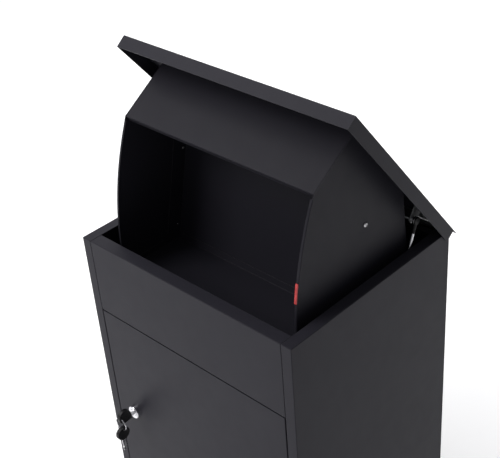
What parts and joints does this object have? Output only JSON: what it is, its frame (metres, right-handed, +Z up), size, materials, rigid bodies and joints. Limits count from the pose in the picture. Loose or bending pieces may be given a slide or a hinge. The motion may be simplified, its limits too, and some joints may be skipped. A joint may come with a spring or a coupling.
{
  "type": "parcel drop box",
  "caption": "Free-standing steel parcel drop box with a hinged lid, a tilting hood that lifts with the lid, and a locked front door.",
  "frame": {"origin": "centre of the cabinet's base, on the floor", "axes": "+X to the viewer's right facing the door, -Y out of the door, +Z up"},
  "size_m": [0.446, 0.4222, 0.8901],
  "materials": {
    "powder_coat": "satin",
    "powder_coat_hood": "satin",
    "zinc_plate": "satin",
    "bright_steel": "satin",
    "chrome_plate": "gloss",
    "black_plastic": "matte",
    "black_paint": "gloss",
    "red_strip": "matte",
    "nylon": "matte"
  },
  "bodies": {
    "cabinet": {"left_side_panel": "powder_coat", "right_side_panel": "powder_coat", "rear_panel": "powder_coat", "bottom_panel": "powder_coat", "bottom_front_rail": "powder_coat", "upper_front_panel": "powder_coat", "hinge_body_leaf": "zinc_plate", "hinge_pin": "bright_steel", "door_upper_pivot": "bright_steel", "door_lower_pivot": "bright_steel", "door_washer": "nylon", "strut_lower_bracket_left": "zinc_plate", "strut_lower_bracket_right": "zinc_plate", "strut_bracket_screws": "bright_steel"},
    "lid": {"lid_panel": "powder_coat", "hinge_lid_leaf": "zinc_plate", "left_cheek": "powder_coat_hood", "right_cheek": "powder_coat_hood", "hood_front_plate": "powder_coat_hood", "hood_back_plate": "powder_coat_hood", "hood_tray": "powder_coat_hood", "hood_screws": "bright_steel", "strut_upper_bracket_left": "zinc_plate", "strut_upper_bracket_right": "zinc_plate", "edge_marker": "red_strip"},
    "door": {"door_panel": "powder_coat", "door_stiffener": "powder_coat_hood", "lock_barrel": "chrome_plate", "lock_nut": "zinc_plate"},
    "lock_plug": {"lock_plug": "chrome_plate", "lock_cam": "zinc_plate", "cam_screw": "bright_steel"},
    "key": {"key_blade": "bright_steel", "key_bow": "black_plastic"},
    "key_ring": {"key_ring": "chrome_plate"},
    "spare_key": {"spare_key_blade": "bright_steel", "spare_key_bow": "black_plastic"},
    "strut_tube_left": {"strut_tube_left": "black_paint", "strut_lower_end_left": "black_plastic"},
    "strut_rod_left": {"strut_rod_left": "chrome_plate", "strut_upper_end_left": "black_plastic"},
    "strut_tube_right": {"strut_tube_right": "black_paint", "strut_lower_end_right": "black_plastic"},
    "strut_rod_right": {"strut_rod_right": "chrome_plate", "strut_upper_end_right": "black_plastic"}
  },
  "joints": [
    {"name": "lid_hinge", "type": "hinge", "parent": "cabinet", "child": "lid", "pos_m": [0, 0.1825, 0.596], "axis": [1, 0, 0], "range_deg": [0, 51.83], "stiffness_Nm_per_rad": 6, "springref_deg": -103.13},
    {"name": "door_hinge", "type": "hinge", "parent": "cabinet", "child": "door", "pos_m": [0.1934, -0.1768, 0.24825], "axis": [0, 0, 1], "range_deg": [0, 110]},
    {"name": "lock_turn", "type": "hinge", "parent": "door", "child": "lock_plug", "pos_m": [-0.157, -0.187, 0.268], "axis": [0, -1, 0], "range_deg": [0, 90]},
    {"name": "key_slide", "type": "slide", "parent": "lock_plug", "child": "key", "axis": [0, -1, 0], "range_m": [0, 0.024]},
    {"name": "ring_swing", "type": "hinge", "parent": "key", "child": "key_ring", "pos_m": [-0.157, -0.2147, 0.27395], "axis": [1, 0, 0], "range_deg": [-60, 18]},
    {"name": "spare_key_swing", "type": "hinge", "parent": "key_ring", "child": "spare_key", "pos_m": [-0.157, -0.2147, 0.25095], "axis": [1, 0, 0], "range_deg": [-30, 18]},
    {"name": "strut_swing_left", "type": "hinge", "parent": "cabinet", "child": "strut_tube_left", "pos_m": [-0.1975, 0.0525, 0.437], "axis": [1, 0, 0], "range_deg": [-3.9, 0]},
    {"name": "strut_slide_left", "type": "slide", "parent": "strut_tube_left", "child": "strut_rod_left", "axis": [0, 0.342, 0.9397], "range_m": [-0.06049, 0]},
    {"name": "strut_swing_right", "type": "hinge", "parent": "cabinet", "child": "strut_tube_right", "pos_m": [0.1975, 0.0525, 0.437], "axis": [1, 0, 0], "range_deg": [-3.9, 0]},
    {"name": "strut_slide_right", "type": "slide", "parent": "strut_tube_right", "child": "strut_rod_right", "axis": [0, 0.342, 0.9397], "range_m": [-0.06049, 0]}
  ],
  "couplings": [
    {"joint": "strut_swing_left", "follows": "lid_hinge", "ratio": -0.075067},
    {"joint": "strut_slide_left", "follows": "lid_hinge", "m_per_rad": -0.066858},
    {"joint": "strut_swing_right", "follows": "lid_hinge", "ratio": -0.075067},
    {"joint": "strut_slide_right", "follows": "lid_hinge", "m_per_rad": -0.066858}
  ]
}
